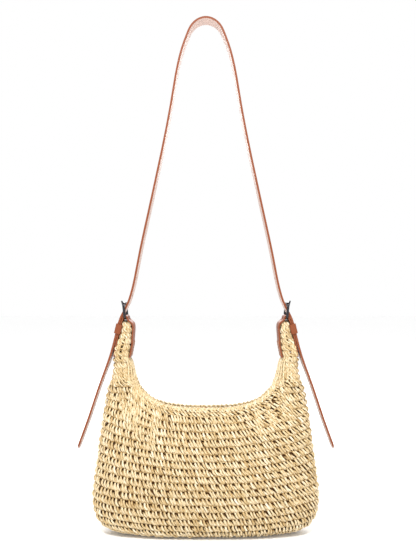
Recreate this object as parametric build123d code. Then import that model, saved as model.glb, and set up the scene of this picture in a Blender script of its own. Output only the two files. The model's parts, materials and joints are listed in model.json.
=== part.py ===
from build123d import *
import math
import os

# Crocheted hobo bag hanging from its leather strap. Millimetres, +Z up, +X to the bag's
# right as seen from the front, -Y towards the front. The origin is the middle of the
# underside of the strap at its highest point, where a hook carries the bag.

# ---- driving dimensions: leather strap --------------------------------------------------
STRAP_WIDTH = 30.0
STRAP_THICK = 2.8
STRAP_TIP_RADIUS = 11.0
HOLE_RADIUS = 2.0
HOLE_SPACING = 25.0
HOLES_BELOW_BUCKLE = 6
HOLES_ABOVE_BUCKLE = 2
USED_HOLE_LENGTH = 11.4
USED_HOLE_WIDTH = 3.4
USED_HOLE_SHIFT = 0.3

# Centre line of the strap's right half (x, z), from the hook down to the free tip.
STRAP_ROUTE = [
    (0.0, STRAP_THICK / 2),
    (14.6, -4.0),
    (21.5, -12.0),
    (26.0, -22.0),
    (30.2, -33.0),
    (34.4, -46.0),
    (38.4, -62.0),
    (47.4, -113.0),
    (57.9, -169.0),
    (69.6, -224.0),
    (81.7, -279.0),
    (93.4, -334.0),
    (104.0, -383.0),
    (107.9, -394.0),
    (113.1, -404.5),
    (118.2, -415.0),
    (122.3, -429.3),
    (126.1, -445.0),
    (133.8, -472.0),
    (144.2, -500.0),
    (153.8, -528.0),
    (162.8, -555.0),
    (172.6, -582.0),
    (177.6, -596.0),
]
STRAP_SAMPLES = 140
HOLE_SEARCH_STEPS = 4000

# ---- driving dimensions: buckle, tab and keeper, right-hand side --------------------------
HEEL_X = 111.7
HEEL_Z = -414.5
FRAME_HEIGHT = 20.6
FRAME_LEAN = 5.9
FRAME_BAR_RADIUS = 1.75
FRAME_SIDE_GAP = 1.0
FRAME_CORNER_RADIUS = 4.0
PRONG_RADIUS = 1.1
PRONG_EYE_RADIUS = 2.9
PRONG_EYE_WIDTH = 3.4
PRONG_FIT = 0.06
PRONG_OVERHANG = 3.0
PRONG_ROOT = 0.5
MOVING_GAP = 0.3

TAB_WIDTH = 30.0
TAB_THICK = 2.0
TAB_SLOT_WIDTH = 5.4
TAB_SLOT_BOTTOM = -417.8
TAB_SLOT_HEIGHT = 20.0
TAB_SAMPLES = 24
INNER_LEAF = [(102.6, -421.5), (100.9, -432.0), (101.9, -447.0), (105.4, -469.0)]
OUTER_LEAF = [(117.1, -420.5), (119.4, -429.3), (123.1, -445.0), (127.0, -468.0)]

EAR_OUTLINE = [
    (107.6, -468.0),
    (103.6, -447.0),
    (102.7, -433.0),
    (104.6, -424.4),
    (108.2, -420.0),
    (112.2, -419.4),
    (113.6, -421.6),
    (117.5, -437.0),
    (118.6, -442.0),
    (121.7, -449.5),
    (125.2, -467.5),
]
EAR_DEPTH = 27.0

KEEPER_CENTRE = (121.0, -429.3)
KEEPER_HEIGHT = 13.6
KEEPER_GAP = 6.4
KEEPER_WALL = 1.3
KEEPER_SIDE_GAP = 0.6
KEEPER_SLOPE = 13.5
KEEPER_CORNER_RADIUS = 2.0

STITCH_LENGTH = 3.0
STITCH_PITCH = 4.4
STITCH_RADIUS = 0.4
STITCH_PROUD = 0.12
STITCH_INSET = 3.2
STITCHES_PER_SIDE = 5
STITCHES_ACROSS = 5

# ---- driving dimensions: crocheted bag ----------------------------------------------------
# Height, half width, half depth of the outside at each level.
BAG_LEVELS = [
    (-713.0, 122.0, 28.0),
    (-709.0, 136.0, 36.0),
    (-700.0, 148.0, 42.0),
    (-685.0, 155.0, 46.0),
    (-665.0, 158.0, 48.0),
    (-635.0, 155.5, 47.0),
    (-600.0, 151.0, 43.5),
    (-570.0, 147.0, 37.5),
    (-550.0, 144.5, 29.5),
    (-540.0, 143.0, 23.5),
    (-530.0, 142.0, 19.0),
    (-520.0, 140.5, 17.5),
    (-506.0, 136.0, 17.0),
]
BAG_SQUARENESS = 2.6
SHELL_THICK = 5.0
LINING_GAP = 0.25
LINING_THICK = 1.0
LINING_INSIDE = SHELL_THICK + LINING_GAP + LINING_THICK
LINING_DROP = 5.0
LINING_TOP = -523.0
POCKET_GAP = 0.1
POCKET_THICK = 1.0
POCKET_HALF_WIDTH = 65.0
POCKET_TOP = -575.0
POCKET_BOTTOM = -655.0
SECTION_POINTS = 32
BASE_STEP = 3.0

# Mouth outline from the middle of the rim out to the ear (x, z).
MOUTH = [(0.0, -534.0), (30.0, -533.0), (55.0, -529.0), (74.0, -522.0), (88.0, -511.0), (95.0, -499.0)]
EDGING_HEIGHT = 9.0

NECK_LEVELS = [
    (-522.0, 112.0, 26.0, 20.0),
    (-511.0, 114.0, 22.5, 17.0),
    (-499.0, 114.5, 18.0, 13.2),
    (-490.0, 115.2, 14.8, 12.4),
    (-484.0, 115.2, 13.4, 12.0),
]
SWING_Z = -484.0
NECK_BARREL_SHARE = 0.72
NECK_BARREL_INSET = 0.24

# Blocks that cut the rest away are larger than the bag.
CUT_HALF_DEPTH = 90.0
CUT_TOP = -440.0
CUT_WIDTH = 400.0

SNAP_Z = -556.0
SNAP_RADIUS = 9.0
SNAP_THICK = 2.4
SNAP_PATCH_RADIUS = 14.0
SNAP_PATCH_THICK = 1.2
SNAP_EDGE_RADIUS = 0.8
SNAP_LIFT = 1.5
SNAP_SLOPE_REACH = 6.0
STUD_RADIUS = 3.0
STUD_HEIGHT = 1.6
STUD_FIT = 0.3


def mirrored(points):
    """The left half of a symmetric outline, from the outside to the middle."""
    return [(-x, z) for x, z in reversed(points[1:])]


def on_xz(points):
    """Points given as (x, z) placed on the plane y = 0."""
    return [Vector(x, 0, z) for x, z in points]


def band(path, samples, thickness, width):
    """A strip of leather: the path in XZ, thickened both ways and extruded across Y."""
    left = []
    right = []
    for i in range(samples + 1):
        point = path.position_at(i / samples)
        tangent = path.tangent_at(i / samples)
        normal = Vector(-tangent.Z, 0, tangent.X) * (thickness / 2)
        left.append(point + normal)
        right.append(point - normal)
    outline = [
        Spline(left),
        Line(left[-1], right[-1]),
        Spline(list(reversed(right))),
        Line(right[0], left[0]),
    ]
    strip = extrude(make_face(outline), amount=width / 2, dir=(0, 1, 0), both=True)
    return strip.solids()[0]


def cutter_across(path, at, length, width, depth):
    """A rounded slot cutter that passes square through a strip at a place on its path."""
    point = path.position_at(at)
    tangent = path.tangent_at(at)
    plane = Plane(origin=point, x_dir=tangent, z_dir=Vector(-tangent.Z, 0, tangent.X))
    if length > width:
        slot = SlotOverall(length, width)
    else:
        slot = Circle(width / 2)
    return extrude(plane * slot, amount=depth, both=True)


# ---- strap --------------------------------------------------------------------------------
def strap_path():
    """Centre line of the whole strap, from the left free tip over the hook to the right one."""
    return Spline(on_xz(mirrored(STRAP_ROUTE) + STRAP_ROUTE))


def frame_up():
    """Direction from the heel bar to the top bar of the right-hand buckle."""
    lean = math.radians(FRAME_LEAN)
    return Vector(math.sin(lean), 0, math.cos(lean))


def prong_direction():
    """The prong leans far enough out to lie on the outer side of the top bar."""
    clear = FRAME_BAR_RADIUS + PRONG_RADIUS + MOVING_GAP
    lean = math.radians(FRAME_LEAN) + math.asin(clear / FRAME_HEIGHT)
    return Vector(math.sin(lean), 0, math.cos(lean))


def place_of_used_hole(path):
    """Where the right-hand prong's line crosses the strap, as a share of its length."""
    heel = Vector(HEEL_X, 0, HEEL_Z)
    direction = prong_direction()
    best = None
    for i in range(HOLE_SEARCH_STEPS // 2, HOLE_SEARCH_STEPS):
        offset = path.position_at(i / HOLE_SEARCH_STEPS) - heel
        along = offset.dot(direction)
        if along < 0 or along > FRAME_HEIGHT:
            continue
        away = (offset - direction * along).length
        if best is None or away < best[0]:
            best = (away, i / HOLE_SEARCH_STEPS)
    return best[1]


def make_strap():
    """The whole strap with rounded tips, a row of round holes and the long hole in use, on both sides."""
    path = strap_path()
    strap = band(path, STRAP_SAMPLES, STRAP_THICK, STRAP_WIDTH)
    tip_edges = [e for e in strap.edges() if abs(e.length - STRAP_THICK) < 0.05]
    strap = fillet(tip_edges, STRAP_TIP_RADIUS)
    used = place_of_used_hole(path)
    per_mm = 1.0 / path.length
    for n in range(-HOLES_ABOVE_BUCKLE, HOLES_BELOW_BUCKLE + 1):
        if n == 0:
            at = used + USED_HOLE_SHIFT * per_mm
            hole = (USED_HOLE_LENGTH, USED_HOLE_WIDTH)
        else:
            at = used + n * HOLE_SPACING * per_mm
            hole = (0, 2 * HOLE_RADIUS)
        for place in (at, 1 - at):
            strap -= cutter_across(path, place, hole[0], hole[1], STRAP_THICK)
    return strap


# ---- tab, ear core, stitching ---------------------------------------------------------------
def fold_radius():
    """Radius of the tab's middle surface where it turns round the heel bar."""
    return FRAME_BAR_RADIUS + MOVING_GAP + TAB_THICK / 2


def inner_leaf_path():
    start = (HEEL_X - fold_radius(), HEEL_Z)
    return Spline(on_xz([start] + INNER_LEAF), tangents=[(-0.25, 0, -1), (0.2, 0, -1)])


def outer_leaf_path():
    start = (HEEL_X + fold_radius(), HEEL_Z)
    return Spline(on_xz([start] + OUTER_LEAF), tangents=[(0.25, 0, -1), (0.17, 0, -1)])


def make_tab():
    """Two leaves joined by a half turn round the heel bar, with a slot for the prong."""
    inner = band(inner_leaf_path(), TAB_SAMPLES, TAB_THICK, TAB_WIDTH)
    outer = band(outer_leaf_path(), TAB_SAMPLES, TAB_THICK, TAB_WIDTH)
    bar = Plane(origin=(HEEL_X, 0, HEEL_Z), z_dir=(0, 1, 0))
    bore = bar * Cylinder(fold_radius() - TAB_THICK / 2, 2 * TAB_WIDTH)
    fold = bar * Cylinder(fold_radius() + TAB_THICK / 2, TAB_WIDTH)
    reach = 4 * fold_radius()
    fold -= Pos(HEEL_X, 0, HEEL_Z - reach / 2) * Box(reach, 2 * TAB_WIDTH, reach)
    tab = (fold - bore) + inner + outer - bore
    slot = Box(reach, TAB_SLOT_WIDTH, TAB_SLOT_HEIGHT)
    return tab - Pos(HEEL_X, 0, TAB_SLOT_BOTTOM + TAB_SLOT_HEIGHT / 2) * slot


def make_ear_core():
    """The gathered crochet end held between the tab's leaves."""
    outline = Polyline(on_xz(EAR_OUTLINE), close=True)
    return extrude(make_face(outline), amount=EAR_DEPTH / 2, dir=(0, 1, 0), both=True)


def stitch_bar(point, tangent, across):
    """One stitch lying on a leaf: a short thread, half of it proud of the leather."""
    direction = Vector(0, 1, 0) if across else tangent
    plane = Plane(origin=point - direction * (STITCH_LENGTH / 2), z_dir=direction)
    return extrude(plane * Circle(STITCH_RADIUS), amount=STITCH_LENGTH)


def make_tab_stitches():
    """Two rows down each leaf and one row across its end, on both outer faces."""
    stitches = []
    offset = TAB_THICK / 2 + STITCH_PROUD
    for path, facing in ((inner_leaf_path(), -1), (outer_leaf_path(), 1)):
        last = 1 - STITCH_INSET / path.length
        for n in range(STITCHES_PER_SIDE):
            at = last - n * STITCH_PITCH / path.length
            tangent = path.tangent_at(at)
            normal = Vector(-tangent.Z, 0, tangent.X) * (facing * offset)
            point = path.position_at(at) + normal
            for side in (-1, 1):
                y = side * (TAB_WIDTH / 2 - STITCH_INSET)
                stitches.append(stitch_bar(point + Vector(0, y, 0), tangent, False))
        tangent = path.tangent_at(last)
        normal = Vector(-tangent.Z, 0, tangent.X) * (facing * offset)
        point = path.position_at(last) + normal
        for n in range(STITCHES_ACROSS):
            y = (n - (STITCHES_ACROSS - 1) / 2) * STITCH_PITCH
            stitches.append(stitch_bar(point + Vector(0, y, 0), tangent, True))
    return Compound(children=stitches)


# ---- buckle frame, prong, keeper ------------------------------------------------------------
def make_frame():
    """The buckle's closed rectangular frame, bent from round rod."""
    up = frame_up()
    plane = Plane(origin=(HEEL_X, 0, HEEL_Z), x_dir=(0, 1, 0), z_dir=(up.Z, 0, -up.X))
    side = STRAP_WIDTH / 2 + FRAME_SIDE_GAP + FRAME_BAR_RADIUS
    ring = RectangleRounded(2 * side, FRAME_HEIGHT, FRAME_CORNER_RADIUS)
    path = (Pos(0, FRAME_HEIGHT / 2) * ring).face().outer_wire()
    section = Plane(origin=path @ 0, z_dir=path % 0) * Circle(FRAME_BAR_RADIUS)
    return plane * sweep(section, path=path)


def make_prong():
    """The buckle's prong: an eye on the heel bar and a round shaft that lies on the top bar."""
    direction = prong_direction()
    heel = Vector(HEEL_X, 0, HEEL_Z)
    eye_plane = Plane(origin=heel, z_dir=(0, 1, 0))
    bore = FRAME_BAR_RADIUS + PRONG_FIT
    eye = eye_plane * Cylinder(PRONG_EYE_RADIUS, PRONG_EYE_WIDTH)
    start = PRONG_EYE_RADIUS - PRONG_ROOT
    length = FRAME_HEIGHT + PRONG_OVERHANG - start
    shaft_plane = Plane(origin=heel + direction * start, z_dir=direction)
    shaft = extrude(shaft_plane * Circle(PRONG_RADIUS), amount=length)
    tip = Pos(heel + direction * (start + length)) * Sphere(PRONG_RADIUS)
    prong = eye + shaft + tip
    prong -= eye_plane * Cylinder(bore, PRONG_EYE_WIDTH * 2)
    return prong


def make_keeper():
    """The leather loop that holds the free end of the strap down below the buckle."""
    slope = math.radians(KEEPER_SLOPE)
    down = Vector(math.sin(slope), 0, -math.cos(slope))
    centre = Vector(KEEPER_CENTRE[0], 0, KEEPER_CENTRE[1])
    plane = Plane(origin=centre - down * (KEEPER_HEIGHT / 2), x_dir=(0, 1, 0), z_dir=down)
    inside_y = STRAP_WIDTH + 2 * KEEPER_SIDE_GAP
    outside_y = inside_y + 2 * KEEPER_WALL
    outside_x = KEEPER_GAP + 2 * KEEPER_WALL
    ring = RectangleRounded(outside_y, outside_x, KEEPER_CORNER_RADIUS)
    ring -= Rectangle(inside_y, KEEPER_GAP)
    return extrude(plane * ring, amount=KEEPER_HEIGHT)


# ---- crocheted bag ----------------------------------------------------------------------------
def rounded_section(z, half_width, half_depth):
    """A closed superellipse at height z."""
    power = 2 / BAG_SQUARENESS
    points = []
    for i in range(SECTION_POINTS):
        turn = 2 * math.pi * i / SECTION_POINTS
        c = math.cos(turn)
        s = math.sin(turn)
        x = math.copysign(abs(c) ** power, c) * half_width
        y = math.copysign(abs(s) ** power, s) * half_depth
        points.append(Vector(x, y, z))
    return make_face(Spline(points, periodic=True))


def bag_volume(inset):
    """The bag's filled volume, its walls and base moved in by inset."""
    base = BAG_LEVELS[0][0] + inset
    sections = []
    for z, half_width, half_depth in BAG_LEVELS:
        if z == BAG_LEVELS[0][0]:
            z = base
        elif z < base + BASE_STEP:
            continue
        sections.append(rounded_section(z, half_width - inset, half_depth - inset))
    return loft(sections)


def mouth_cutter(drop):
    """Everything above the rim line, moved down by drop."""
    outline = [(x, z - drop) for x, z in mirrored(MOUTH) + MOUTH]
    edge = Spline(on_xz(outline))
    left = edge @ 0
    right = edge @ 1
    sides = Polyline(right, Vector(right.X, 0, CUT_TOP), Vector(left.X, 0, CUT_TOP), left)
    return extrude(make_face([edge, sides]), amount=CUT_HALF_DEPTH, dir=(0, 1, 0), both=True)


def make_neck():
    """The gathered end of the crochet below the right-hand tab, rounded on the swing axis."""
    sections = []
    for z, x, half_width, half_depth in NECK_LEVELS:
        sections.append(Pos(x, 0, z) * Ellipse(half_width, half_depth))
    neck = loft(sections)
    _, x, half_width, half_depth = NECK_LEVELS[-1]
    barrel_length = 2 * half_width * NECK_BARREL_SHARE
    barrel = Cylinder(half_depth - NECK_BARREL_INSET, barrel_length)
    barrel = Plane(origin=(x, 0, SWING_Z), z_dir=(1, 0, 0)) * barrel
    rounder = Pos(x, 0, SWING_Z) * scale(Sphere(1.0), by=(half_width, half_depth, half_depth))
    return neck + rounder.intersect(barrel)


def make_lining():
    """A thin fabric bag just inside the crochet, ending below the rim and the ears."""
    lining = bag_volume(SHELL_THICK + LINING_GAP) - bag_volume(LINING_INSIDE)
    lining -= mouth_cutter(LINING_DROP)
    above = CUT_TOP - LINING_TOP
    lining -= Pos(0, 0, LINING_TOP + above / 2) * Box(CUT_WIDTH, 2 * CUT_HALF_DEPTH, above)
    return one_solid(lining)


def make_pocket():
    """A flat slip pocket on the lining's back wall, open at its top."""
    inset = LINING_INSIDE + POCKET_GAP
    layer = bag_volume(inset) - bag_volume(inset + POCKET_THICK)
    height = POCKET_TOP - POCKET_BOTTOM
    zone = Box(2 * POCKET_HALF_WIDTH, CUT_HALF_DEPTH, height)
    zone = Pos(0, CUT_HALF_DEPTH / 2, POCKET_BOTTOM + height / 2) * zone
    return one_solid(layer.intersect(zone))


def wall_half_depth(z):
    """Half depth of the bag's outside at height z, between the stated levels."""
    for (z0, _, d0), (z1, _, d1) in zip(BAG_LEVELS, BAG_LEVELS[1:]):
        if z0 <= z <= z1:
            return d0 + (d1 - d0) * (z - z0) / (z1 - z0)
    return BAG_LEVELS[-1][2]


def snap_plane(side):
    """A plane just inside the lining at the snap, facing into the bag; side is -1 at the front."""
    above = wall_half_depth(SNAP_Z + SNAP_SLOPE_REACH)
    below = wall_half_depth(SNAP_Z - SNAP_SLOPE_REACH)
    slope = (above - below) / (2 * SNAP_SLOPE_REACH)
    y = wall_half_depth(SNAP_Z) - LINING_INSIDE - SNAP_LIFT
    return Plane(origin=(0, side * y, SNAP_Z), x_dir=(1, 0, 0), z_dir=Vector(0, -side, slope))


def make_snap_patch(side):
    disc = extrude(Circle(SNAP_PATCH_RADIUS), amount=SNAP_PATCH_THICK)
    return snap_plane(side) * disc


def make_snap(side, has_stud):
    """One half of the magnetic snap: a low disc with a stud, or with a socket for it."""
    disc = Pos(0, 0, SNAP_PATCH_THICK + SNAP_THICK / 2) * Cylinder(SNAP_RADIUS, SNAP_THICK)
    rim = disc.edges().filter_by(GeomType.CIRCLE).sort_by(Axis.Z)[-1]
    disc = fillet(rim, SNAP_EDGE_RADIUS)
    top = SNAP_PATCH_THICK + SNAP_THICK
    if has_stud:
        disc += Pos(0, 0, top + STUD_HEIGHT / 2) * Cylinder(STUD_RADIUS, STUD_HEIGHT)
    else:
        disc -= Pos(0, 0, top) * Cylinder(STUD_RADIUS + STUD_FIT, 2 * STUD_HEIGHT)
    return snap_plane(side) * disc


def one_solid(shape):
    """The largest solid of a shape, without crumbs."""
    solids = shape.solids()
    return max(solids, key=lambda s: s.volume)


def write(shape, name):
    export_step(shape, os.path.join("parts", name + ".step"))


def main():
    os.makedirs("parts", exist_ok=True)
    write(make_strap(), "strap")

    sided = {
        "tab": make_tab(),
        "ear_core": make_ear_core(),
        "tab_stitches": make_tab_stitches(),
        "buckle_frame": make_frame(),
        "prong": make_prong(),
        "keeper": make_keeper(),
    }
    for name, shape in sided.items():
        write(shape, "right_" + name)
        write(mirror(shape, about=Plane.YZ), "left_" + name)

    mouth = mouth_cutter(0)
    edging_zone = mouth_cutter(EDGING_HEIGHT)
    shell = bag_volume(0) - bag_volume(SHELL_THICK) - mouth
    edgings = shell.intersect(edging_zone).solids().sort_by(Axis.Y)
    neck = make_neck()
    necks = neck + mirror(neck, about=Plane.YZ)
    crochet = one_solid((shell - edging_zone) + (necks - mouth))
    write(crochet, "crochet_body")
    write(edgings[0], "front_rim_edging")
    write(edgings[-1], "back_rim_edging")
    write(make_lining(), "lining")
    write(make_pocket(), "slip_pocket")
    write(make_snap_patch(-1), "front_snap_patch")
    write(make_snap_patch(1), "back_snap_patch")
    write(make_snap(-1, True), "snap_stud")
    write(make_snap(1, False), "snap_socket")


if __name__ == "__main__":
    main()
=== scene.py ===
"""The hobo bag's looks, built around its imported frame. Lengths in the yarn code are millimetres."""
import json
import math

import bpy
import numpy as np
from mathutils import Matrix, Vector

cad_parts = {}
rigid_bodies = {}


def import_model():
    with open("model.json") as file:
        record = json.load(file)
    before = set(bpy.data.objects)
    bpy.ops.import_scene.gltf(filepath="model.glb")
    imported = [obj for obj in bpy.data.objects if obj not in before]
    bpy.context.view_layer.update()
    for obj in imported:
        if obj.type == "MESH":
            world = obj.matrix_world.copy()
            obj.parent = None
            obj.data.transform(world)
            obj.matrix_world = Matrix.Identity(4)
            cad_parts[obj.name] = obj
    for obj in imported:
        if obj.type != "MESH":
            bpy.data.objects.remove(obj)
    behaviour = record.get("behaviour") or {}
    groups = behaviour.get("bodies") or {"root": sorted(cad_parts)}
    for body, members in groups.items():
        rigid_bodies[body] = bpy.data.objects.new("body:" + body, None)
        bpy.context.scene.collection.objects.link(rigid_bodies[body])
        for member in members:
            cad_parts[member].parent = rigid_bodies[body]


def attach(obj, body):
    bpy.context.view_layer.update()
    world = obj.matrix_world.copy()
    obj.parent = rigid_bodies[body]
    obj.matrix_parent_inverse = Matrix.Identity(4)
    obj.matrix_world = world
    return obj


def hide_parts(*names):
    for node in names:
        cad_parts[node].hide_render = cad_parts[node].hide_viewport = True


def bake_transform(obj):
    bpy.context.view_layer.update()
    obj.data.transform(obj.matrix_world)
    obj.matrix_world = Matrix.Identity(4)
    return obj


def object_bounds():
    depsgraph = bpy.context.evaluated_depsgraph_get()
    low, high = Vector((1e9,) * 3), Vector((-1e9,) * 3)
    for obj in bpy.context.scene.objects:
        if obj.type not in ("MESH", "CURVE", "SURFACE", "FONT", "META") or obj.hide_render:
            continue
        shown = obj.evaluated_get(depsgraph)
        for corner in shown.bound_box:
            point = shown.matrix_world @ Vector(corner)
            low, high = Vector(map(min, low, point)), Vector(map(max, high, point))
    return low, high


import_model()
CAD_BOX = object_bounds()
MM = 0.001

# ---- driving values --------------------------------------------------------------------------------
# The bag's outside from the middle of its base up to the ears: height, half width, half depth.
BAG_LEVELS = np.array([
    (-709.4, 92.0, 0.5),
    (-709.4, 102.0, 12.0),
    (-709.0, 119.0, 25.0),
    (-707.4, 131.0, 33.0),
    (-704.0, 139.0, 38.0),
    (-698.5, 145.5, 41.5),
    (-685.0, 152.3, 45.0),
    (-665.0, 155.0, 47.0),
    (-635.0, 152.3, 46.0),
    (-600.0, 147.7, 42.5),
    (-570.0, 143.7, 36.5),
    (-550.0, 141.3, 28.5),
    (-540.0, 139.5, 22.5),
    (-530.0, 138.0, 18.0),
    (-520.0, 136.5, 17.0),
    (-510.0, 133.5, 16.8),
    (-500.0, 129.6, 15.8),
    (-490.0, 126.8, 14.0),
])
SQUARENESS = 2.6
# The ends of the base curl up a little, so the bag stands on the middle of it. The lift grows over
# a range of distance from the middle, and over a range of depth below the strap's top.
BASE_LIFT = 2.6
BASE_LIFT_ALONG = (55.0, 135.0)
BASE_LIFT_DEPTH = (670.0, 713.0)
# The ears against height: their inner side and half depth.
NECK = np.array([
    (-550.0, 55.0, 24.0),
    (-528.0, 74.0, 19.5),
    (-516.0, 88.0, 17.5),
    (-503.0, 97.0, 15.8),
    (-490.0, 102.0, 14.0),
])
# Between these heights the wall's section turns into the two ears' sections.
EARS_CLOSE = (-522.0, -494.0)
# The mouth's edge: distance from the middle and height.
MOUTH = np.array([
    (0.0, -539.5),
    (30.0, -538.5),
    (55.0, -535.0),
    (74.0, -528.0),
    (88.0, -516.0),
    (96.5, -503.0),
    (101.0, -490.0),
])
# The gathered crochet from the bag up between the tab's leaves: height, inner and outer side, half
# depth.
GATHER = np.array([
    (-508.5, 93.5, 132.8, 16.6),
    (-500.0, 98.8, 129.6, 15.6),
    (-492.0, 101.5, 127.4, 14.3),
    (-484.0, 103.6, 126.4, 13.4),
    (-476.0, 105.2, 125.9, 13.0),
    (-468.0, 107.4, 128.6, 15.4),
    (-458.0, 106.2, 127.6, 15.4),
    (-450.0, 105.3, 125.2, 13.8),
    (-443.0, 104.7, 120.6, 12.2),
    (-436.0, 104.3, 117.8, 12.0),
    (-428.0, 104.1, 116.0, 12.0),
    (-422.0, 105.4, 114.6, 10.8),
    (-419.2, 108.4, 113.2, 7.6),
])
# The inner faces of the tab's two leaves, between which the gathered crochet is held: height, then
# their distances from the middle of the bag.
LEAVES = np.array([
    (-469.0, 106.2, 126.0),
    (-465.0, 105.6, 125.5),
    (-460.0, 104.6, 124.7),
    (-450.0, 102.8, 123.1),
    (-440.0, 102.5, 120.9),
    (-432.0, 101.9, 119.0),
    (-428.0, 101.8, 118.1),
    (-424.0, 102.4, 117.2),
    (-420.0, 105.8, 115.8),
    (-418.0, 107.9, 114.9),
])
LEAF_HALF_WIDTH = 15.0
# The back of the mouth hangs a little lower than the front.
BACK_RIM_DROP = 3.0
ROW_HEIGHT = 9.6
STITCHES_ROUND = 64
# The way up the wall is this share longer at the bag's sides than at its front and back.
SIDE_GAIN = 0.13
SEED = 7


# ---- small helpers ---------------------------------------------------------------------------------
def smooth_table(x, xs, ys):
    """Values at x of a smooth curve through (xs, ys), without overshoot between equal neighbours."""
    xs = np.asarray(xs, float)
    ys = np.asarray(ys, float)
    step = np.diff(xs)
    slope = np.diff(ys) / step
    before, after = slope[:-1], slope[1:]
    product = before * after
    grad = np.empty_like(ys)
    grad[1:-1] = np.where(product > 0, 2 * product / (before + after + 1e-12), 0)
    grad[0] = slope[0]
    grad[-1] = slope[-1]
    x = np.clip(x, xs[0], xs[-1])
    i = np.clip(np.searchsorted(xs, x, side="right") - 1, 0, len(xs) - 2)
    t = (x - xs[i]) / step[i]
    a = ys[i] * (1 + 2 * t) * (1 - t) ** 2 + ys[i + 1] * t * t * (3 - 2 * t)
    b = grad[i] * step[i] * t * (1 - t) ** 2 + grad[i + 1] * step[i] * t * t * (t - 1)
    return a + b


def smoothstep(x, low, high):
    """0 below low, 1 above high, and a smooth rise between them."""
    t = np.clip((x - low) / (high - low), 0, 1)
    return t * t * (3 - 2 * t)


def normal_from(across, up):
    """Unit normals from two directions in a surface."""
    normal = np.cross(across, up)
    return normal / (np.linalg.norm(normal, axis=-1, keepdims=True) + 1e-9)


def frame_of(at, step):
    """From a map of (across, up) to points, a map to points and normals, by differences of a step."""

    def frame_at(across, up):
        return at(across, up), normal_from(
            at(across + step, up) - at(across - step, up),
            at(across, up + step) - at(across, up - step))

    return frame_at


# ---- the bag's surface -----------------------------------------------------------------------------
def level_arc():
    """Distance up the wall from the middle of the base to each stated level."""
    step = np.diff(BAG_LEVELS, axis=0)
    front = np.hypot(step[:, 0], step[:, 2])
    side = np.hypot(step[:, 0], step[:, 1])
    return np.concatenate([[0], np.cumsum((front + side) / 2)])


ARC = level_arc()


def mouth_height(x):
    """Height of the mouth's edge at distance x from the middle; beyond it the ear closes."""
    return smooth_table(np.abs(x), MOUTH[:, 0], MOUTH[:, 1])


def surface(turn, arc):
    """Points on the bag's outside, for an angle round it and a distance up its wall."""
    c = np.cos(turn)
    s = np.sin(turn)
    xs = np.sign(c) * np.abs(c) ** (2 / SQUARENESS)
    ys = np.sign(s) * np.abs(s) ** (2 / SQUARENESS)
    arc = arc * (1 + SIDE_GAIN * xs * xs)
    z = smooth_table(arc, ARC, BAG_LEVELS[:, 0])
    width = smooth_table(arc, ARC, BAG_LEVELS[:, 1])
    depth = smooth_table(arc, ARC, BAG_LEVELS[:, 2])
    z = z + np.maximum(arc - ARC[-1], 0)
    x = width * xs
    y = depth * ys
    z = z + BASE_LIFT * smoothstep(np.abs(x), *BASE_LIFT_ALONG) * smoothstep(-z, *BASE_LIFT_DEPTH)
    inner = smooth_table(z, NECK[:, 0], NECK[:, 1])
    neck_depth = smooth_table(z, NECK[:, 0], NECK[:, 2])
    middle = (width + inner) / 2
    half = (width - inner) / 2
    ring = neck_depth * np.sqrt(np.clip(1 - ((np.abs(x) - middle) / half) ** 2, 0, 1))
    close = smoothstep(z, *EARS_CLOSE)
    y = y * (1 - close) + np.sign(s) * ring * close
    return np.stack([x, y, z], -1)


class Course:
    """Maps (stitches round, rows up) to the angle round the bag, with even stitches in every row."""

    ROW_STEP = 0.25
    SHARES = 720

    def __init__(self, stitches, rows_max):
        self.stitches = stitches
        self.rows = np.arange(-0.5, rows_max + 0.51, self.ROW_STEP)
        turns = np.linspace(0, 2 * np.pi, 2 * self.SHARES + 1)
        share = np.linspace(0, 1, self.SHARES + 1)
        table = []
        for row in self.rows:
            points = surface(turns, np.full_like(turns, max(row, 0.05) * ROW_HEIGHT))
            along = np.linalg.norm(np.diff(points, axis=0), axis=1)
            total = np.concatenate([[0], np.cumsum(along)])
            table.append(np.interp(share, total / total[-1], turns))
        self.table = np.array(table)

    def turn(self, stitch, row):
        """The angle round the bag of a place in a row."""
        share = np.mod(stitch / self.stitches, 1.0) * self.SHARES
        r = np.clip((row - self.rows[0]) / self.ROW_STEP, 0, len(self.rows) - 1.001)
        i = r.astype(int)
        j = np.clip(share.astype(int), 0, self.SHARES - 1)
        f = r - i
        g = share - j
        low = self.table[i, j] * (1 - g) + self.table[i, j + 1] * g
        high = self.table[i + 1, j] * (1 - g) + self.table[i + 1, j + 1] * g
        return low * (1 - f) + high * f


# ---- yarn ------------------------------------------------------------------------------------------
# Each strand of one stitch: points as (across in stitches, up in rows, out in mm), then the strand's
# radius in mm. Two raised legs stand either side of a small gap, a larger hole is left before the
# next stitch, and lower strands close the bottom half of the row. The last strand lies along the
# foot of the row.
STITCH = [
    ([(0.18, 1.02, -1.9), (0.24, 0.82, 1.1), (0.34, 0.50, 2.5), (0.49, 0.20, 1.5),
      (0.58, -0.03, -1.5)], 1.38),
    ([(0.60, 1.06, -1.9), (0.66, 0.84, 0.9), (0.77, 0.50, 2.1), (0.92, 0.20, 1.2),
      (1.00, -0.03, -1.6)], 1.33),
    ([(-0.14, 0.60, -2.0), (-0.01, 0.46, 0.2), (0.14, 0.28, 1.0), (0.31, 0.09, 0.2),
      (0.42, -0.04, -1.8)], 1.26),
    ([(0.42, 0.68, -2.0), (0.53, 0.52, 0.0), (0.65, 0.30, 0.7), (0.78, 0.09, 0.0),
      (0.86, -0.04, -1.8)], 1.12),
    ([(-0.06, 0.02, -1.8), (0.25, 0.00, -0.9), (0.50, 0.03, -0.7), (0.75, 0.00, -0.9),
      (1.06, 0.02, -1.8)], 1.10),
]
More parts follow.
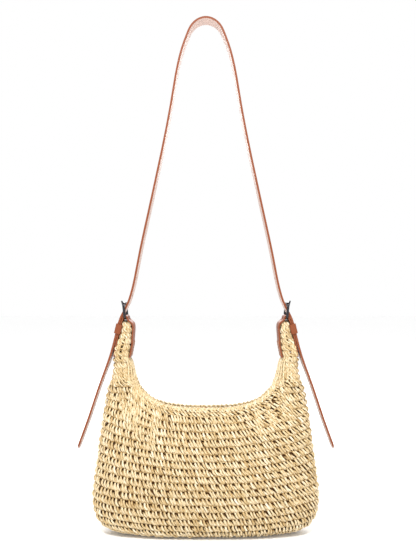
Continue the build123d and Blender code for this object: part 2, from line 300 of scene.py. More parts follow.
# The finer stitches of the edging lie closer together, so no holes show between them.
EDGE_STITCH = [
    ([(-0.05, 1.06, -1.2), (0.10, 0.80, 0.8), (0.32, 0.45, 1.4), (0.55, 0.14, 0.8),
      (0.68, -0.06, -1.2)], 1.25),
    ([(0.42, 1.06, -1.2), (0.56, 0.80, 0.6), (0.78, 0.45, 1.2), (1.00, 0.14, 0.6),
      (1.12, -0.06, -1.2)], 1.20),
    ([(-0.05, 0.02, -0.9), (0.25, 0.00, -0.2), (0.50, 0.03, -0.1), (0.75, 0.00, -0.2),
      (1.05, 0.02, -0.9)], 0.95),
]
# Corners round a strand's section, and sections along a strand of a stitch.
RING = 12
SAMPLES = 11
# A strand's section is flattened and lobed, and turns along it: radians for each mm.
FLATTEN = 0.85
LOBES = 3
LOBE_DEPTH = 0.17
TWIST = 0.55
# Each strand starts at another angle, and has fibre coordinates of its own.
LOBE_STEP = 2.4
FIBRE_STEP = 3.7
FIBRE_TILT = 0.31
FIBRE_LENGTH = 0.1
# Painted shade where strands dive into the work, darker and browner: tone per mm below a height.
DIVE_SHADE_TONE = 1.7
DIVE_SHADE_FROM = 0.7
# How stitches differ: their places in stitches and rows, their size, and the middle points of their
# strands in stitches, rows and mm, first for a strand as a whole and then for each point.
PLACE_SPREAD = 0.035
SIZE_SPREAD = 0.05
STRAND_SPREAD = (0.045, 0.04, 0.25)
POINT_SPREAD = (0.018, 0.015, 0.10)
# How strands narrow towards their ends, vary in thickness along their length, and differ in tone.
TAPER = 0.45
WANDER = 0.06
STITCH_TONE = 0.3
STRAND_TONE = 0.9
# A strand's part of its bake cell, and its two end caps' places in it.
CELL_MARGIN = 0.06
CELL_WIDTH = 0.80
CELL_HEIGHT = 0.88
CAP_PLACE = (0.93, 0.2)
CAP_RADIUS = 0.03
CAPS_APART = 0.5


def curve_through(points, samples):
    """Samples of a smooth curve (Catmull-Rom) through points of shape (strands, n, 3)."""
    n = points.shape[1]
    first = 2 * points[:, :1] - points[:, 1:2]
    last = 2 * points[:, -1:] - points[:, -2:-1]
    p = np.concatenate([first, points, last], 1)
    t = np.linspace(0, n - 1, samples)
    i = np.clip(t.astype(int), 0, n - 2)
    f = (t - i)[None, :, None]
    a, b, c, d = p[:, i], p[:, i + 1], p[:, i + 2], p[:, i + 3]
    return 0.5 * (
        2 * b + (c - a) * f + (2 * a - 5 * b + 4 * c - d) * f * f
        + (3 * b - a - 3 * c + d) * f ** 3)


def ring_angles():
    """The angles of the corners round a strand."""
    return np.arange(RING) / RING * 2 * np.pi


def tubes(paths, normals, radii):
    """Closed tubes along paths (strands, samples, 3): vertices, faces, end caps, and mm along."""
    strands, samples, _ = paths.shape
    tangent = np.gradient(paths, axis=1)
    tangent /= np.linalg.norm(tangent, axis=-1, keepdims=True) + 1e-9
    side = np.cross(tangent, normals)
    side /= np.linalg.norm(side, axis=-1, keepdims=True) + 1e-9
    out = np.cross(side, tangent)
    angle = ring_angles()
    c = np.cos(angle)[None, None, :, None]
    s = np.sin(angle)[None, None, :, None]
    step = np.linalg.norm(np.diff(paths, axis=1), axis=-1)
    along = np.concatenate([np.zeros((strands, 1)), np.cumsum(step, 1)], 1)
    start = (np.arange(strands) * LOBE_STEP)[:, None, None]
    turned = angle[None, None] + start + TWIST * along[:, :, None]
    r = radii[:, :, None, None] * (1 + LOBE_DEPTH * np.cos(LOBES * turned))[..., None]
    verts = paths[:, :, None] + side[:, :, None] * c * r + out[:, :, None] * s * r * FLATTEN
    first = (np.arange(strands) * samples * RING)[:, None, None]
    row = (np.arange(samples - 1) * RING)[None, :, None]
    a = first + row + np.arange(RING)[None, None]
    b = first + row + np.roll(np.arange(RING), -1)[None, None]
    quads = np.stack([a, b, b + RING, a + RING], -1).reshape(-1, 4)
    start_cap = first[:, 0] + np.arange(RING)[::-1][None]
    end_cap = first[:, 0] + (samples - 1) * RING + np.arange(RING)[None]
    return verts.reshape(-1, 3), quads, np.concatenate([start_cap, end_cap]), along


def bake_cells(strands, samples):
    """A bake coordinate for every face corner: each strand has a cell of its own."""
    side = int(math.ceil(math.sqrt(strands)))
    cell = np.stack([np.arange(strands) % side, np.arange(strands) // side], -1) / side
    u0 = np.arange(RING) / RING
    v0 = np.arange(samples - 1) / (samples - 1)
    corner_u = np.array([0, 1, 1, 0]) / RING
    corner_v = np.array([0, 0, 1, 1]) / (samples - 1)
    u = u0[None, :, None] + corner_u[None, None]
    v = v0[:, None, None] + corner_v[None, None]
    u, v = np.broadcast_arrays(u, v)
    local = np.stack([CELL_MARGIN + CELL_WIDTH * u, CELL_MARGIN + CELL_HEIGHT * v], -1) / side
    quads = (cell[:, None, None, None] + local[None]).reshape(-1, 2)
    angle = ring_angles()
    disc = np.stack([
        CAP_PLACE[0] + CAP_RADIUS * np.cos(angle),
        CAP_PLACE[1] + CAP_RADIUS * np.sin(angle),
    ], -1) / side
    start_cap = cell[:, None] + disc[None]
    caps = np.concatenate([start_cap, start_cap + [0, CAPS_APART / side]])
    return np.concatenate([quads, caps.reshape(-1, 2)])


def mesh_object(name, verts_mm, quads, caps, material):
    """A mesh object from arrays; caps are faces with as many corners as a tube's ring."""
    mesh = bpy.data.meshes.new(name)
    mesh.vertices.add(len(verts_mm))
    mesh.vertices.foreach_set("co", (np.asarray(verts_mm) * MM).astype(np.float32).ravel())
    loops = np.concatenate([quads.ravel(), caps.ravel()])
    sizes = np.concatenate([np.full(len(quads), 4), np.full(len(caps), caps.shape[1])])
    mesh.loops.add(len(loops))
    mesh.loops.foreach_set("vertex_index", loops.astype(np.int32))
    mesh.polygons.add(len(sizes))
    starts = np.concatenate([[0], np.cumsum(sizes)[:-1]])
    mesh.polygons.foreach_set("loop_start", starts.astype(np.int32))
    mesh.polygons.foreach_set("use_smooth", np.full(len(sizes), True))
    mesh.update(calc_edges=True)
    mesh.validate()
    obj = bpy.data.objects.new(name, mesh)
    bpy.context.scene.collection.objects.link(obj)
    mesh.materials.append(material)
    return obj


def point_attribute(mesh, name, kind, field, values):
    """An attribute with a value for each vertex."""
    data = mesh.attributes.new(name, kind, "POINT").data
    data.foreach_set(field, values.astype(np.float32).ravel())


def yarn_object(name, paths, normals, radii, tone, material):
    """Yarn work: many strands in one mesh, with their own coordinates for the fibres."""
    strands, samples, _ = paths.shape
    verts, quads, caps, along = tubes(paths, normals, radii)
    obj = mesh_object(name, verts, quads, caps, material)
    angle = ring_angles()
    offset = (np.arange(strands) * FIBRE_STEP)[:, None, None]
    fibre = np.stack(np.broadcast_arrays(
        np.cos(angle)[None, None] + offset,
        np.sin(angle)[None, None] + offset * FIBRE_TILT,
        along[:, :, None] * FIBRE_LENGTH,
    ), -1)
    point_attribute(obj.data, "fibre", "FLOAT_VECTOR", "vector", fibre)
    # The tone attribute holds random tone and, for stitches, painted shade where strands dive in.
    tone = np.broadcast_to(np.reshape(tone, (strands, -1)), (strands, samples))
    point_attribute(obj.data, "tone", "FLOAT", "value", np.repeat(tone.ravel(), RING))
    uv = obj.data.uv_layers.new(name="OFBake")
    uv.data.foreach_set("uv", bake_cells(strands, samples).astype(np.float32).ravel())
    return obj


def work_stitches(frame_at, stitch, row, rng, template=STITCH, scale=1.0, slant=0.0):
    """Strand paths for stitches at (stitch, row); frame_at maps (across, up) to point and normal."""
    paths = []
    normals = []
    radii = []
    tones = []
    count = len(stitch)
    jitter = rng.normal(0, PLACE_SPREAD, (count, 2))
    size = 1 + rng.normal(0, SIZE_SPREAD, count)
    shade = rng.normal(0, 1.0, count)
    lean = np.reshape(slant, (-1, 1))
    t = np.linspace(0, 1, SAMPLES)[None]
    taper = 1 - TAPER * np.abs(2 * t - 1) ** 4
    for points, radius in template:
        local = np.repeat(np.array(points, float)[None], count, 0)
        local[:, 1:-1] += rng.normal(0, 1, (count, 1, 3)) * STRAND_SPREAD
        local[:, 1:-1] += rng.normal(0, 1, (count, len(points) - 2, 3)) * POINT_SPREAD
        path = curve_through(local, SAMPLES)
        across = stitch[:, None] + jitter[:, :1] + path[..., 0] + lean * (0.5 - path[..., 1])
        up = row[:, None] + jitter[:, 1:] * 0.6 + path[..., 1]
        point, normal = frame_at(across, up)
        paths.append(point + normal * path[..., 2:] * scale)
        normals.append(normal)
        wander = 1 + WANDER * np.sin(t * 9 + rng.uniform(0, 6.28, (count, 1)))
        radii.append(radius * scale * size[:, None] * taper * wander)
        # Painted shade: a point's tone falls for each mm it lies deep in the work.
        deep = DIVE_SHADE_TONE * np.minimum(path[..., 2] - DIVE_SHADE_FROM, 0)
        tone = shade * STITCH_TONE + rng.normal(0, STRAND_TONE, count)
        tones.append(tone[:, None] + deep)
    return tuple(np.concatenate(part) for part in (paths, normals, radii, tones))


# ---- materials ------------------------------------------------------------------------------------
class Look:
    """A material in the making. Inputs take plain values or other nodes' outputs."""

    def __init__(self, name):
        self.material = bpy.data.materials.new(name)
        self.material.use_nodes = True
        self.tree = self.material.node_tree
        self.shader = self.tree.nodes["Principled BSDF"]

    def put(self, socket, value):
        """Links another node's output to an input, or sets the input to a value."""
        if isinstance(value, bpy.types.NodeSocket):
            self.tree.links.new(value, socket)
        else:
            socket.default_value = value

    def fill(self, node, inputs):
        """Sets a node's inputs by name; _ in a name stands for a space."""
        for name, value in inputs.items():
            self.put(node.inputs[name.replace("_", " ")], value)

    def node(self, kind, **inputs):
        """A new node of a kind, with some of its inputs set."""
        node = self.tree.nodes.new("ShaderNode" + kind)
        self.fill(node, inputs)
        return node

    def attribute(self, name, output):
        """An output of a mesh attribute."""
        node = self.node("Attribute")
        node.attribute_name = name
        return node.outputs[output]

    def math(self, operation, *values):
        """The result of an operation on values or outputs."""
        node = self.node("Math")
        node.operation = operation
        for socket, value in zip(node.inputs, values):
            self.put(socket, value)
        return node.outputs[0]

    def mix(self, factor, a, b):
        """A blend of two colours."""
        node = self.node("Mix")
        node.data_type = "RGBA"
        self.fill(node, {"Factor": factor, "A": a, "B": b})
        return node.outputs["Result"]

    def spread(self, value, **limits):
        """A value mapped from one range to another."""
        return self.node("MapRange", Value=value, **limits).outputs["Result"]

    def ramp(self, factor, *stops):
        """A colour ramp; each stop is a position and a colour."""
        node = self.node("ValToRGB", Fac=factor)
        elements = node.color_ramp.elements
        while len(elements) < len(stops):
            elements.new(0.5)
        for element, (position, colour) in zip(elements, stops):
            element.position = position
            element.color = (*colour, 1)
        return node.outputs["Color"]

    def bump(self, height, strength, distance):
        """Fine relief on the main shader; the distance is in metres."""
        node = self.node("Bump", Height=height, Strength=strength, Distance=distance)
        self.put(self.shader.inputs["Normal"], node.outputs["Normal"])

    def done(self, **inputs):
        """Sets the main shader's inputs and gives the material."""
        self.fill(self.shader, inputs)
        return self.material


def darker(colour, share):
    """A share of a colour."""
    return tuple(share * c for c in colour)


def raffia_material():
    """Paper straw: pale, slightly glossy, with creases and fibres along every strand."""
    look = Look("raffia")
    fibre = look.attribute("fibre", "Vector")
    tone = look.attribute("tone", "Fac")
    noise = look.node("TexNoise", Vector=fibre, Scale=2.6, Detail=4.0, Roughness=0.6)
    creases = noise.outputs["Fac"]
    # Where the tone carries painted shade, the ramp's dark end browns the strands' deep ends.
    colour = look.ramp(look.math("MULTIPLY_ADD", tone, TONE_STRENGTH, creases), *STRAW_AND_SHADE)
    look.bump(creases, 0.55, 0.0006)
    return look.done(Base_Color=colour, Roughness=0.45, Specular_IOR_Level=0.45)


def cloth_material(name, dark, light, thread_mm):
    """Plain-woven cloth."""
    look = Look(name)
    place = look.node("TexCoord").outputs["Object"]
    threads = []
    for axis in "XZ":
        scale = WAVE_LENGTH / (thread_mm * MM)
        wave = look.node("TexWave", Vector=place, Scale=scale, Distortion=0.4)
        wave.bands_direction = axis
        threads.append(wave.outputs["Fac"])
    weave = look.math("MULTIPLY", *threads)
    look.bump(weave, 0.4, 0.0003)
    colour = look.ramp(weave, (0.0, dark), (1.0, light))
    return look.done(Base_Color=colour, Roughness=0.9, Sheen_Weight=0.2)


def leather_material(name, dark, light, flesh=None):
    """Vegetable-tanned leather: pebbled grain, uneven dye, burnished edges and a pale flesh side.

    The flesh side is the one that faces the middle of the strap's loop.
    """
    look = Look(name)
    coordinates = look.node("TexCoord").outputs
    place = coordinates["Object"]
    uneven = look.node("TexNoise", Vector=place, Scale=45.0, Detail=6.0, Roughness=0.65)
    mottle = uneven.outputs["Fac"]
    grain = look.node("TexVoronoi", Vector=place, Scale=900.0).outputs["Distance"]
    pores = look.node("TexNoise", Vector=place, Scale=2200.0, Detail=3.0).outputs["Fac"]
    facing = look.node("SeparateXYZ", Vector=coordinates["Normal"]).outputs
    colour = look.ramp(mottle, (0.30, dark), (0.72, light))
    edge = look.spread(look.math("ABSOLUTE", facing["Y"]), From_Min=0.35, From_Max=0.85)
    burnished = (0.95 * (a + b) / 2 for a, b in zip(dark, light))
    colour = look.mix(edge, colour, (*burnished, 1))
    if flesh:
        hand = look.math("SIGN", look.node("SeparateXYZ", Vector=place).outputs["X"])
        outward = look.math("ADD", look.math("MULTIPLY", hand, facing["X"]), facing["Z"])
        inside = look.spread(outward, From_Min=-0.30, From_Max=-0.55)
        suede = look.ramp(pores, (0.35, darker(flesh, 0.8)), (0.65, flesh))
        colour = look.mix(inside, colour, suede)
    look.bump(look.math("MULTIPLY_ADD", pores, 0.4, grain), 0.30, 0.0002)
    gloss = look.spread(mottle, To_Min=0.42, To_Max=0.66)
    return look.done(Base_Color=colour, Roughness=gloss, Specular_IOR_Level=0.28)


def metal_material(name, colour, roughness):
    """Plated metal with fine rubbed scratches."""
    look = Look(name)
    place = look.node("TexCoord").outputs["Object"]
    rub = look.node("TexNoise", Vector=place, Scale=400.0, Detail=5.0).outputs["Fac"]
    worn = look.ramp(rub, (0.3, darker(colour, 0.75)), (0.7, colour))
    gloss = look.spread(rub, To_Min=roughness * 0.7, To_Max=roughness * 1.3)
    return look.done(Base_Color=worn, Roughness=gloss, Metallic=1.0)


# How far a strand's tone moves its colour along the straw colours, from painted shade to bleached.
TONE_STRENGTH = 0.055
STRAW_AND_SHADE = (
    (0.22, (0.24, 0.120, 0.034)),
    (0.38, (0.48, 0.325, 0.130)),
    (0.53, (0.63, 0.500, 0.296)),
    (0.74, (0.86, 0.775, 0.610)),
)
# The length of a wave texture's bands at a scale of 1, in metres.
WAVE_LENGTH = 0.314
# The leather's dye, where it took most and where it took least, and the strap's undyed flesh side.
COGNAC_DARK = (0.155, 0.036, 0.010)
COGNAC = (0.24, 0.062, 0.018)
FLESH = (0.62, 0.46, 0.40)
RAFFIA = raffia_material()
LINING_CLOTH = cloth_material("lining_cloth", (0.15, 0.066, 0.018), (0.30, 0.150, 0.050), 0.7)
STRAP_LEATHER = leather_material("strap_leather", COGNAC_DARK, COGNAC, FLESH)
LEATHER = leather_material("leather", COGNAC_DARK, COGNAC)
THREAD = cloth_material("thread", (0.40, 0.20, 0.10), (0.60, 0.36, 0.20), 0.4)
GUNMETAL = metal_material("gunmetal", (0.050, 0.050, 0.055), 0.32)
SNAP_METAL = metal_material("snap_metal", (0.60, 0.57, 0.52), 0.22)


# ---- crochet: body --------------------------------------------------------------------------------
COURSE = Course(STITCHES_ROUND, 28)
# Distances up the wall among which the mouth's edge and the foot of the ears are looked for.
WALL_ARCS = np.linspace(150, 262, 449)
# The back rim's drop sets in between these depths behind the bag's middle.
BACK_FROM = (4.0, 12.0)
# The body's rows end this far below the mouth's edge, or at the height where the ears start. Their
# limit is smoothed over a number of places round the bag.
EDGING_DEPTH = 9.6
EAR_START = -508.0
LIMIT_SMOOTHING = 15
# The last rows of a column are stretched or squeezed to fit the body's limit.
FITTED_ROWS = 4
BODY_ROWS = 27
# The body's pieces: from which row, and up to which.
BODY_PIECES = (
    ("crochet_base", 0, 5),
    ("crochet_lower", 5, 11),
    ("crochet_middle", 11, 16),
    ("crochet_upper", 16, 99),
)
# Stitches shift by a part of a stitch in every second row, and by a little more in each row.
ROW_SHIFT = 0.15
ROW_DRIFT = 0.03
# They lean, and more so towards the right of the front and of the back, as seen from outside.
LEAN = 0.10
LEAN_GAIN = 0.15
FULL_HALF_WIDTH = BAG_LEVELS[6, 1]
STITCH_MIDDLE = 0.45
# Smaller stitches where a column meets one with another number of rows.
JOIN_PLACE = 0.55
JOIN_SCALE = 0.9


def wall_grid(turn):
    """Points on the wall at each of WALL_ARCS, for every angle."""
    return surface(turn[..., None] + 0 * WALL_ARCS, WALL_ARCS + 0 * turn[..., None])


def wall_top(turn):
    """Distance up the wall at which it reaches the mouth's edge, for every angle."""
    grid = wall_grid(turn)
    lower = BACK_RIM_DROP * smoothstep(grid[..., 1], *BACK_FROM)
    above = grid[..., 2] > mouth_height(grid[..., 0]) - lower
    return WALL_ARCS[np.where(above.any(-1), np.argmax(above, axis=-1), len(WALL_ARCS) - 1)]


def body_limit():
    """For every angle round the bag, the distance up the wall at which the body's rows end."""
    turns = np.linspace(0, 2 * np.pi, 1441)
    ear = WALL_ARCS[np.argmax(wall_grid(turns)[..., 2] > EAR_START, axis=1)]
    limit = np.minimum(ear, wall_top(turns) - EDGING_DEPTH)
    half = LIMIT_SMOOTHING // 2
    wrapped = np.concatenate([limit[-half - 1:-1], limit, limit[1:half + 1]])
    return turns, np.convolve(wrapped, np.ones(LIMIT_SMOOTHING) / LIMIT_SMOOTHING, "valid")


LIMIT_TURNS, LIMIT = body_limit()


def body_rows(turn):
    """How many rows fit below the limit at an angle."""
    return np.round(np.interp(turn, LIMIT_TURNS, LIMIT) / ROW_HEIGHT)


def body_frame(rows):
    """A frame for stitches in columns of a given number of rows: the last few rows fit the limit."""
    rows = rows[:, None]

    def at(stitch, row):
        turn = COURSE.turn(stitch, row)
        limit = np.interp(turn, LIMIT_TURNS, LIMIT)
        plain = (rows - FITTED_ROWS) * ROW_HEIGHT
        above = row - (rows - FITTED_ROWS)
        arc = np.where(above > 0, plain + above * (limit - plain) / FITTED_ROWS, row * ROW_HEIGHT)
        return surface(turn, np.maximum(arc, 0.2))

    return frame_of(at, 0.06)


def make_body():
    """The body's rounds, from the middle of the base up to the edging and the ears."""
    rng = np.random.default_rng(SEED)
    stitch, row = np.meshgrid(np.arange(STITCHES_ROUND, dtype=float), np.arange(float(BODY_ROWS)))
    stitch = (stitch + ROW_SHIFT * (row % 2) + ROW_DRIFT * row).ravel()
    row = row.ravel()
    level = np.minimum(row + 0.5, COURSE.rows[-1])
    turn = COURSE.turn(stitch + STITCH_MIDDLE, level)
    rows = body_rows(turn)
    side = surface(turn, (row + 0.5) * ROW_HEIGHT)[:, 0] / FULL_HALF_WIDTH
    facing = np.where(np.sin(turn) < 0, 1.0, -1.0)
    slant = LEAN + LEAN_GAIN * side * facing
    pieces = []
    for name, low, high in BODY_PIECES:
        pick = (row >= low) & (row < high) & (row < rows)
        frame_at = body_frame(rows[pick])
        work = work_stitches(frame_at, stitch[pick], row[pick], rng, slant=slant[pick])
        pieces.append(yarn_object(name, *work, RAFFIA))
    after = body_rows(COURSE.turn(stitch + (1 + STITCH_MIDDLE), level))
    lowest = np.minimum(after, rows) - FITTED_ROWS - 1
    joins = (after != rows) & (row > lowest) & (row < rows)
    between = (rows[joins] + after[joins]) / 2
    place = stitch[joins] + JOIN_PLACE
    height = row[joins] * between / rows[joins]
    work = work_stitches(body_frame(between), place, height, rng, scale=JOIN_SCALE)
    pieces.append(yarn_object("crochet_joins", *work, RAFFIA))
    for piece in pieces:
        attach(piece, "bag")
        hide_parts("crochet_body")


# ---- lining ---------------------------------------------------------------------------------------
# The lining: mm inside the crochet's outside, mm thick, and mm below the mouth's edge.
LINING_DEPTH = 3.6
LINING_THICK = 0.8
LINING_BELOW_RIM = 5.0
LINING_TURNS = np.linspace(0, 2 * np.pi, 361)[:-1]
LINING_ROWS = 91
HEM_BELOW_RIM = 7.0
HEM_HEIGHT = 7.0
HEM_THICK = 1.0
HEM_ROWS = 7
POCKET_HALF_WIDTH = 64.0
POCKET_TOP = -576.0
POCKET_BOTTOM = -654.0
POCKET_HEM = 9.0
# The pocket's cloth and its hem: bottom, top, and mm off the lining.
POCKET_PIECES = (
    ("slip_pocket_cloth", POCKET_BOTTOM, POCKET_TOP, 0.3),
    ("slip_pocket_hem", POCKET_TOP - POCKET_HEM, POCKET_TOP + 0.4, 1.2),
)


def wall_inside(turn, arc, depth):
    """A point inside the crochet wall, at a depth from its outside."""
    e = 0.004
    across = surface(turn + e, arc) - surface(turn - e, arc)
    up = surface(turn, arc + 1.0) - surface(turn, np.maximum(arc - 1.0, 0.05))
    return surface(turn, arc) - normal_from(across, up) * depth


def cloth_piece(name, point, thickness, closed):
    """Cloth through a grid of points; closed joins its two ends."""
    rows, cols, _ = point.shape
    index = np.arange(rows * cols).reshape(rows, cols)
    if closed:
        index = np.concatenate([index, index[:, :1]], 1)
    corners = (index[:-1, :-1], index[:-1, 1:], index[1:, 1:], index[1:, :-1])
    quads = np.stack(corners, -1).reshape(-1, 4)
    no_caps = np.zeros((0, 4), int)
    piece = mesh_object(name, point.reshape(-1, 3), quads, no_caps, LINING_CLOTH)
    solid = piece.modifiers.new("cloth", "SOLIDIFY")
    solid.thickness = thickness * MM
    solid.offset = -1
    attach(piece, "bag")
    return piece


def make_lining():
    """The lining bag, from the middle of the base to just below the mouth."""
    top = wall_top(LINING_TURNS) - LINING_BELOW_RIM
    arc = np.maximum(np.linspace(0, 1, LINING_ROWS)[:, None] * top[None], 0.2)
    turn = np.broadcast_to(LINING_TURNS[None], arc.shape)
    piece = cloth_piece("lining_bag", wall_inside(turn, arc, LINING_DEPTH), LINING_THICK, True)
    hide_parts("lining")
    return piece


def make_hem():
    """The lining's folded hem, all round the mouth."""
    top = wall_top(LINING_TURNS) - HEM_BELOW_RIM
    arc = top[None] - HEM_HEIGHT * np.linspace(1, 0, HEM_ROWS)[:, None]
    turn = np.broadcast_to(LINING_TURNS[None], arc.shape)
    point = wall_inside(turn, arc, LINING_DEPTH + LINING_THICK)
    return cloth_piece("lining_hem", point, HEM_THICK, True)


def make_pocket():
    """The slip pocket on the lining's back wall, with a doubled hem along its open top."""
    turns = np.linspace(0.02, np.pi - 0.02, 121)
    arcs = np.linspace(20, 220, 401)
    heights = surface(turns[:, None] + 0 * arcs, arcs + 0 * turns[:, None])[..., 2]
    xs = np.linspace(POCKET_HALF_WIDTH, -POCKET_HALF_WIDTH, 65)
    for name, low, high, lift in POCKET_PIECES:
        grid = []
        for z in np.linspace(low, high, 41):
            arc_at_z = np.array([np.interp(z, column, arcs) for column in heights])
            x_at_z = surface(turns, arc_at_z)[:, 0]
            grid.append([np.interp(-xs, -x_at_z, values) for values in (turns, arc_at_z)])
        turn, arc = np.moveaxis(np.array(grid), 1, 0)
        point = wall_inside(turn, arc, LINING_DEPTH + LINING_THICK + lift)
        piece = cloth_piece(name, point, LINING_THICK, False)
        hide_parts("slip_pocket")


# ---- gathered ends and edging ---------------------------------------------------------------------
# The ear's section grows squarer where it enters the tab: the power of its curve, and how much that
# falls between these heights.
EAR_POWER = 0.8
EAR_POWER_DROP = 0.25
EAR_SQUARES = (-482.0, -466.0)
# The leaves hold the strands from these heights on, up to their side edges; past those the strands
# bulge outward, below a depth.
LEAVES_HOLD = (-473.0, -469.5)
LEAF_EDGE = (LEAF_HALF_WIDTH - 0.6, LEAF_HALF_WIDTH + 1.0)
LEAF_BULGE = 4.4
LEAF_BULGE_DEPTH = (444.0, 452.0)
# Rounds of ordinary stitches over the ears, a little smaller than the body's.
GATHER_PITCH = 9.6
GATHER_ROW = 8.15
GATHER_ROWS = 11
GATHER_SCALE = 0.88
GATHER_LEAN = 0.12
ROUND_SHIFT = 0.37
STITCH_HALF_THICK = 1.5
# Long strands up the ears, in shares of a turn: on the mouth's side of each neck, and inside the ear
# all round it. Then from and to which height, mm out, radius, tone, and whether the leaves hold them.
NECK_PLACES = 0.5 + np.array([-0.17, -0.12, -0.07, -0.02, 0.03, 0.08, 0.13, 0.18])
CORE_PLACES = np.arange(26) / 26
COLUMNS = (
    ("_neck_strands", NECK_PLACES, -507.0, -467.0, 3.1, 1.15, 0.5, False),
    ("_core_strands", CORE_PLACES, -503.0, -420.5, -0.9, 1.8, -0.2, True),
)
COLUMN_SAMPLES = 41
COLUMN_WANDER = 0.012
EAR_MIDDLE = np.mean(GATHER[0:6, 1:3])
# Rounds of finer stitches along each side of the mouth.
EDGE_STITCHES = 27
EDGE_ROW = 5.2
EDGE_ROWS = 2
EDGE_SMOOTHING = 13
# Long strands along the mouth's edge: mm up the wall from the edge, mm out from it.
EDGE_LINES = [(-0.4, 0.9), (1.0, -0.9), (-0.6, -2.6), (-3.2, -3.0), (-5.4, -3.2)]
EDGE_LINE_RADIUS = 1.15
EDGE_SAMPLES = 241
# Short strands wrapped over the edge: share of their pitch, mm up, mm out.
WRAP = [
    (0.00, -4.4, 0.2),
    (0.12, -2.4, 2.0),
    (0.35, 0.6, 1.5),
    (0.58, 1.9, -0.9),
    (0.80, 0.2, -3.3),
    (0.95, -3.4, -3.6),
]
WRAPS = 42
WRAP_RADIUS = 1.25
WRAP_SPREAD = (0.04, 0.15, 0.12)


class Gather:
    """Maps (share of a turn, height) to the gathered crochet of one ear; side is -1 left, 1 right."""

    def __init__(self, side):
        self.side = side

    def at(self, share, z):
        inner = smooth_table(z, GATHER[:, 0], GATHER[:, 1])
        outer = smooth_table(z, GATHER[:, 0], GATHER[:, 2])
        deep = smooth_table(z, GATHER[:, 0], GATHER[:, 3])
        turn = 2 * np.pi * share
        c = np.cos(turn)
        s = np.sin(turn)
        power = EAR_POWER - EAR_POWER_DROP * smoothstep(z, *EAR_SQUARES)
        x = (inner + outer) / 2 + (outer - inner) / 2 * np.sign(c) * np.abs(c) ** power
        y = deep * np.sign(s) * np.abs(s) ** power
        return np.stack([self.side * x, self.side * y, z], -1)

    def hold(self, paths, radius):
        """Strands pressed between the tab's leaves; past the leaves' edges they bulge outward."""
        x = self.side * paths[..., 0]
        z = paths[..., 2]
        past = smoothstep(np.abs(paths[..., 1]), *LEAF_EDGE)
        bulge = LEAF_BULGE * past * smoothstep(-z, *LEAF_BULGE_DEPTH)
        inner = np.interp(z, LEAVES[:, 0], LEAVES[:, 1]) + radius
        outer = np.interp(z, LEAVES[:, 0], LEAVES[:, 2]) - radius + bulge
        held = smoothstep(z, *LEAVES_HOLD)
        x = x * (1 - held) + np.clip(x, inner, outer) * held
        return np.stack([self.side * x, paths[..., 1], z], -1)

    def columns(self, places, low, high, out):
        """Strands up the ear at shares of a turn, mm out from it at their middles."""
        share = np.linspace(0, 1, COLUMN_SAMPLES)
        height = np.broadcast_to(low + share * (high - low), (len(places), COLUMN_SAMPLES))
        wander = COLUMN_WANDER * np.sin(share * 7 + 9 * places[:, None])
        point = self.at(places[:, None] + wander, height)
        across = self.side * np.full_like(height, EAR_MIDDLE)
        middle = np.stack([across, np.zeros_like(height), height], -1)
        normal = (point - middle) / np.linalg.norm(point - middle, axis=-1, keepdims=True)
        return point + normal * out * np.sqrt(np.sin(np.pi * share))[:, None], normal

    def round(self, z):
        """Distance round the ear at a height."""
        points = self.at(np.linspace(0, 1, 121), np.full(121, z))
        return np.linalg.norm(np.diff(points, axis=0), axis=1).sum()

    def frame(self, stitches, row_height):
        """The frame for work_stitches, with an array of stitches round for each stitch worked."""
        stitches = stitches[:, None]

        def at(stitch, row):
            return self.at(stitch / stitches, GATHER[0, 0] + row * row_height)

        return frame_of(at, 0.05)


class Edge:
    """Maps (share of the front or back rim's length, mm up the wall from its edge) to the wall."""

    def __init__(self, face):
        start = np.pi if face < 0 else 0.0
        turns = np.linspace(start, start + np.pi, 1201)
        rim = surface(turns, wall_top(turns))
        keep = np.abs(rim[:, 0]) < MOUTH[-1, 0] - 0.5
        self.turns = turns[keep]
        step = np.linalg.norm(np.diff(rim[keep], axis=0), axis=1)
        self.along = np.concatenate([[0], np.cumsum(step)])
        self.length = self.along[-1]
        tops = np.pad(wall_top(self.turns), EDGE_SMOOTHING // 2, "edge")
        self.tops = np.convolve(tops, np.ones(EDGE_SMOOTHING) / EDGE_SMOOTHING, "valid")

    def at(self, share, up):
        place = np.clip(share, 0, 1) * self.length
        turn = np.interp(place, self.along, self.turns)
        top = np.interp(place, self.along, self.tops)
        return surface(turn, top + up)

    def normal(self, share, up):
        e = 0.002
        across = self.at(share + e, up) - self.at(share - e, up)
        rise = self.at(share, up) - self.at(share, up - 2.0)
        return normal_from(across, rise)

    def frame(self, stitches, row_height, rows):
        """The frame for work_stitches in rows below the edge."""

        def at(stitch, row):
            return self.at(stitch / stitches, (row - rows) * row_height)

        return frame_of(at, 0.15)


def long_strands(edge, lines, samples, rng, radius):
    """Smooth strands along a whole rim; each line is (mm up the wall from the edge, mm out)."""
    share = np.linspace(0, 1, samples)
    paths = []
    normals = []
    for up, out in lines:
        phase = rng.uniform(0, 6.28, 2)
        wander = 0.25 * np.sin(share * 23 + phase[0]) + 0.2 * np.sin(share * 41 + phase[1])
        normal = edge.normal(share, up)
        paths.append(edge.at(share, up + wander) + normal * out)
        normals.append(normal)
    radii = radius * (1 + 0.06 * np.sin(share * 60))[None] * np.ones((len(lines), 1))
    return np.array(paths), np.array(normals), radii, rng.normal(0.3, 0.5, len(lines))


